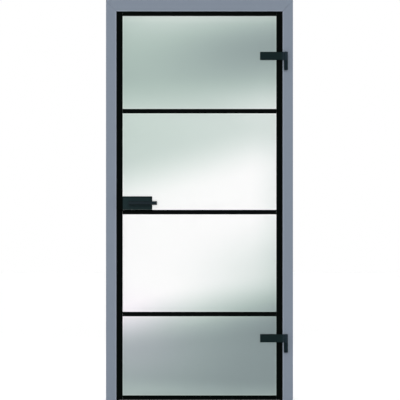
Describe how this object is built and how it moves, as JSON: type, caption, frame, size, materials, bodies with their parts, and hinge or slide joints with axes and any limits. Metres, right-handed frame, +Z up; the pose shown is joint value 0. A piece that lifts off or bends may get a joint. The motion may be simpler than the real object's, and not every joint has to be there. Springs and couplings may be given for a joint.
{
  "type": "glass door with timber frame",
  "caption": "Single glass door leaf with stuck-on black glazing bars, clamp hinges and a lever lock, hung in a rebated grey timber frame.",
  "frame": {"origin": "on the floor, at the foot of the hinge side's lining, in the middle of that foot's flat face", "axes": "+X to the right seen from the front (hinge) side, +Y into the wall, +Z up"},
  "size_m": [0.951, 0.2304, 2.0455],
  "materials": {
    "lacquered_timber": "satin blue-grey lacquer",
    "seal_rubber": "matt black",
    "satin_glass": "satin etched",
    "black_strip": "matt black",
    "hinge_finish": "satin anthracite",
    "lock_finish": "satin anthracite",
    "lever_finish": "satin anthracite",
    "bright_steel": "brushed"
  },
  "bodies": {
    "frame": {"lining_hinge_side": "lacquered_timber", "seal_hinge_side": "seal_rubber", "casing_front_hinge_side": "lacquered_timber", "casing_rear_hinge_side": "lacquered_timber", "lining_lock_side": "lacquered_timber", "seal_lock_side": "seal_rubber", "casing_front_lock_side": "lacquered_timber", "casing_rear_lock_side": "lacquered_timber", "lining_head": "lacquered_timber", "seal_head": "seal_rubber", "casing_front_head": "lacquered_timber", "casing_rear_head": "lacquered_timber", "strike_plate": "bright_steel", "hinge_upper_frame_knuckle": "hinge_finish", "hinge_upper_receiver": "bright_steel", "hinge_lower_frame_knuckle": "hinge_finish", "hinge_lower_receiver": "bright_steel"},
    "leaf": {"glass_leaf": "satin_glass", "front_stile_hinge_side": "black_strip", "front_stile_lock_side": "black_strip", "front_rail_top": "black_strip", "front_rail_bottom": "black_strip", "front_bar_upper": "black_strip", "front_bar_middle": "black_strip", "front_bar_lower": "black_strip", "rear_stile_hinge_side": "black_strip", "rear_stile_lock_side": "black_strip", "rear_rail_top": "black_strip", "rear_rail_bottom": "black_strip", "rear_bar_upper": "black_strip", "rear_bar_middle": "black_strip", "rear_bar_lower": "black_strip", "hinge_upper_leaf_plate": "hinge_finish", "hinge_upper_clamp_plate": "hinge_finish", "hinge_lower_leaf_plate": "hinge_finish", "hinge_lower_clamp_plate": "hinge_finish", "lock_case": "lock_finish", "lock_nose": "black_strip", "latch_bolt": "bright_steel", "lock_rear_plate": "lock_finish"},
    "handle": {"lever_front": "lever_finish", "lever_rear": "lever_finish", "spindle": "bright_steel"}
  },
  "joints": [
    {"name": "door_swing", "type": "hinge", "parent": "frame", "child": "leaf", "pos_m": [0.0171, -0.106, 1], "axis": [0, 0, 1], "range_deg": [0, 170]},
    {"name": "lever_turn", "type": "hinge", "parent": "leaf", "child": "handle", "pos_m": [-0.774, -0.09075, 1.01075], "axis": [0, 1, 0], "range_deg": [0, 40], "stiffness_Nm_per_rad": 1.2, "springref_deg": -28.65}
  ]
}
